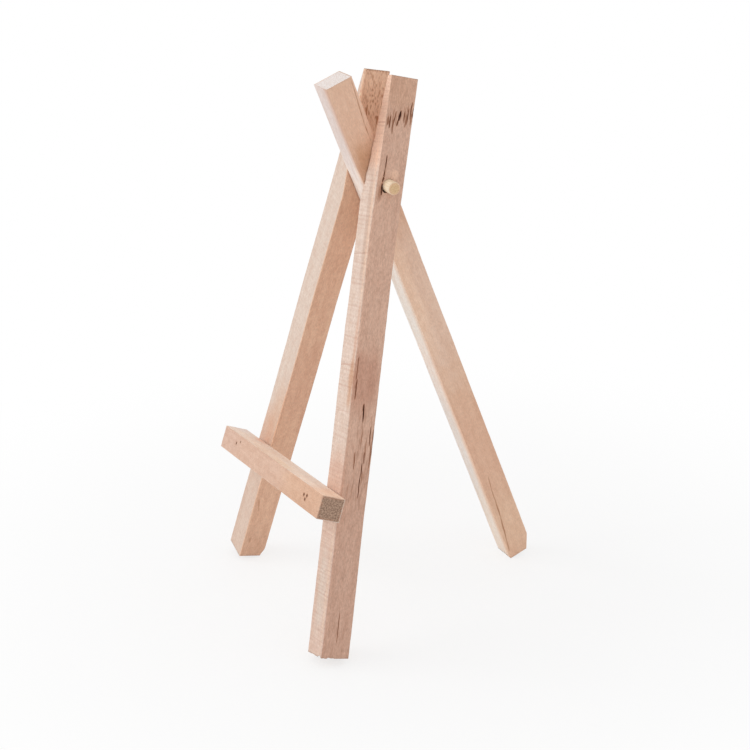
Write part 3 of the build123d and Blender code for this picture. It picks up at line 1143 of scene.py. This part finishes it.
# %% Dress the pieces
for name, body, cad_node, slot in (
    ("right_leg", "front_frame", "right_front_leg", "leg_wood"),
    ("left_leg", "front_frame", "left_front_leg", "leg_wood"),
    ("back_leg", "rear_leg_body", "rear_leg", "leg_wood"),
    ("picture_ledge", "front_frame", "ledge", "ledge_wood"),
    ("dowel_pin", "front_frame", "pivot_dowel", "dowel_wood"),
    ("right_nails", "front_frame", "right_brads", "brad_steel"),
    ("left_nails", "front_frame", "left_brads", "brad_steel"),
):
    piece = pieces[name]
    piece.data.materials.append(materials[name])
    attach(piece, body)
    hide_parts(cad_node)
print("dressed", sorted(pieces))

# %% [markdown]
# ## The floor, the backdrop and the lights
#
# A wide pale floor catches a soft shadow near the easel and fades to plain white further off, so that no
# horizon shows. The fade is only for what looks at the floor directly: the light that the floor throws
# back on the wood stays that of pale paper. One large lamp to the front left gives the fronts of the
# sticks more light than their sides, and an even sky fills the rest.

# %% What is looked at directly
def seen_plainly(tree):
    """1 for a ray that looks straight at a surface, or sees it mirrored or through glass, and 0 for stray
    light."""
    path = node(tree, "ShaderNodeLightPath").outputs
    mirrored = sums(tree, "MAXIMUM", path["Is Glossy Ray"], path["Is Transmission Ray"])
    return sums(tree, "MAXIMUM", path["Is Camera Ray"], mirrored)


# %% The floor's paper
fade_near, fade_far = 0.05, 0.20  # metres from the middle of the floor
fade_least = 0.72  # how white the floor near the middle already looks


def paper():
    """Pale paper that turns to even white away from the easel, where it is looked at directly."""
    material, tree, shader = new_material("floor_paper")
    shader.inputs["Base Color"].default_value = (0.92, 0.92, 0.92, 1)
    shader.inputs["Roughness"].default_value = 0.9
    shader.inputs["Specular IOR Level"].default_value = 0.1
    place = node(tree, "ShaderNodeTexCoord").outputs["Object"]
    away = node(tree, "ShaderNodeVectorMath", {0: place}, operation="LENGTH").outputs["Value"]
    away = between(tree, away, fade_near, fade_far)
    fade = node(tree, "ShaderNodeMapRange", {"Value": away, "To Min": fade_least})
    seen = times(tree, fade.outputs[0], seen_plainly(tree))
    white = node(tree, "ShaderNodeEmission", {"Color": (1, 1, 1, 1), "Strength": 1.0}).outputs[0]
    both = node(tree, "ShaderNodeMixShader", {0: seen, 1: shader.outputs[0], 2: white})
    tree.links.new(both.outputs[0], tree.nodes["Material Output"].inputs["Surface"])
    return material


# %% A lamp and the sky
def lamp(name, place, target, size, power):
    """A square area lamp that looks at a point."""
    data = bpy.data.lights.new(name, "AREA")
    data.shape, data.size, data.energy = "SQUARE", size, power
    holder = add_object(name, data)
    holder.location = place
    holder.rotation_euler = (Vector(place) - Vector(target)).to_track_quat("Z", "Y").to_euler()


def studio_sky(strength):
    """Even white light from all round; what looks at it directly, or mirrors it, sees plain white."""
    world = bpy.data.worlds.new("studio_sky")
    bpy.context.scene.world = world
    world.use_nodes = True
    tree = world.node_tree
    level = node(tree, "ShaderNodeMapRange", {"Value": seen_plainly(tree), "To Min": strength, "To Max": 1.0})
    background = tree.nodes["Background"]
    background.inputs["Color"].default_value = (1, 1, 1, 1)
    tree.links.new(level.outputs["Result"], background.inputs["Strength"])


# %% Set the stage
floor_mesh = bpy.data.meshes.new("floor")
floor_mesh.from_pydata([(-6, -6, 0), (6, -6, 0), (6, 6, 0), (-6, 6, 0)], [], [(0, 1, 2, 3)])
floor = add_object("floor", floor_mesh)
floor_mesh.materials.append(paper())
floor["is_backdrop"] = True
lamp("key", place=(-0.45, -0.95, 0.62), target=(0, 0, 0.07), size=0.8, power=4.2)
studio_sky(strength=0.8)
print("stage set")

# %% [markdown]
# ## Sizes at the end
#
# The box of the dressed easel is kept beside the box of the CAD model, so that the two can be compared.

# %% Write the sizes and finish
dressed_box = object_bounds()
for label, box in (("CAD", cad_box), ("dressed", dressed_box)):
    print(label, [round(value / MM, 2) for corner in box for value in corner])
